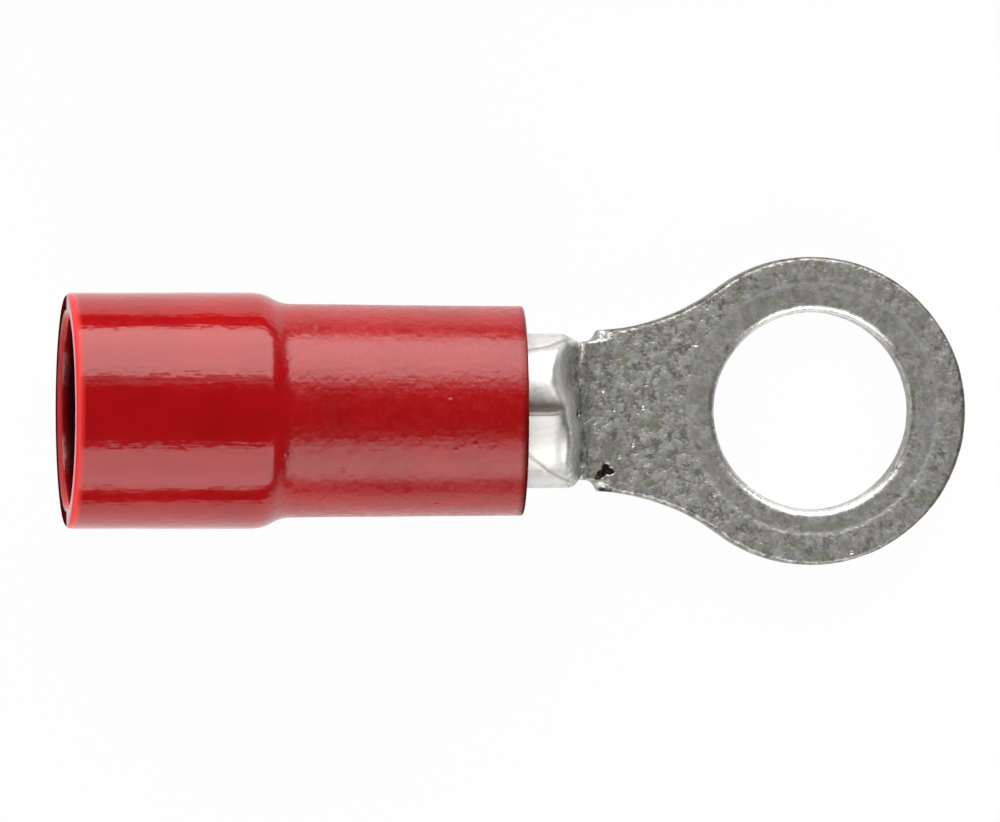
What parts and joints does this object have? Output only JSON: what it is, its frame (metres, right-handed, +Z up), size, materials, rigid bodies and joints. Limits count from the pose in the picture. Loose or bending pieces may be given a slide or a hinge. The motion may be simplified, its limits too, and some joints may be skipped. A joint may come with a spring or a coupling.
{
  "type": "insulated ring terminal",
  "caption": "Insulated ring terminal: a flat stamped ring on a flared neck, rolled into a crimp barrel inside a two-diameter red sleeve.",
  "frame": {"origin": "centre of the stud hole at the tongue's underside", "axes": "+Z along the stud hole's axis out of the face with the rolled edge and the barrel's seam; +X from the sleeve's mouth towards the ring's tip; +Y to the left of someone looking along +X with +Z up"},
  "size_m": [0.0199, 0.0068, 0.0052],
  "materials": {
    "tinned_copper": "dull electro-tinned copper, mottled and fine-grained on the pressed faces, smoother and brighter on the barrel",
    "red_vinyl": "glossy flexible red vinyl with a faintly uneven skin"
  },
  "bodies": {
    "root": {"terminal_body": "tinned_copper", "insulating_sleeve": "red_vinyl"}
  },
  "joints": []
}
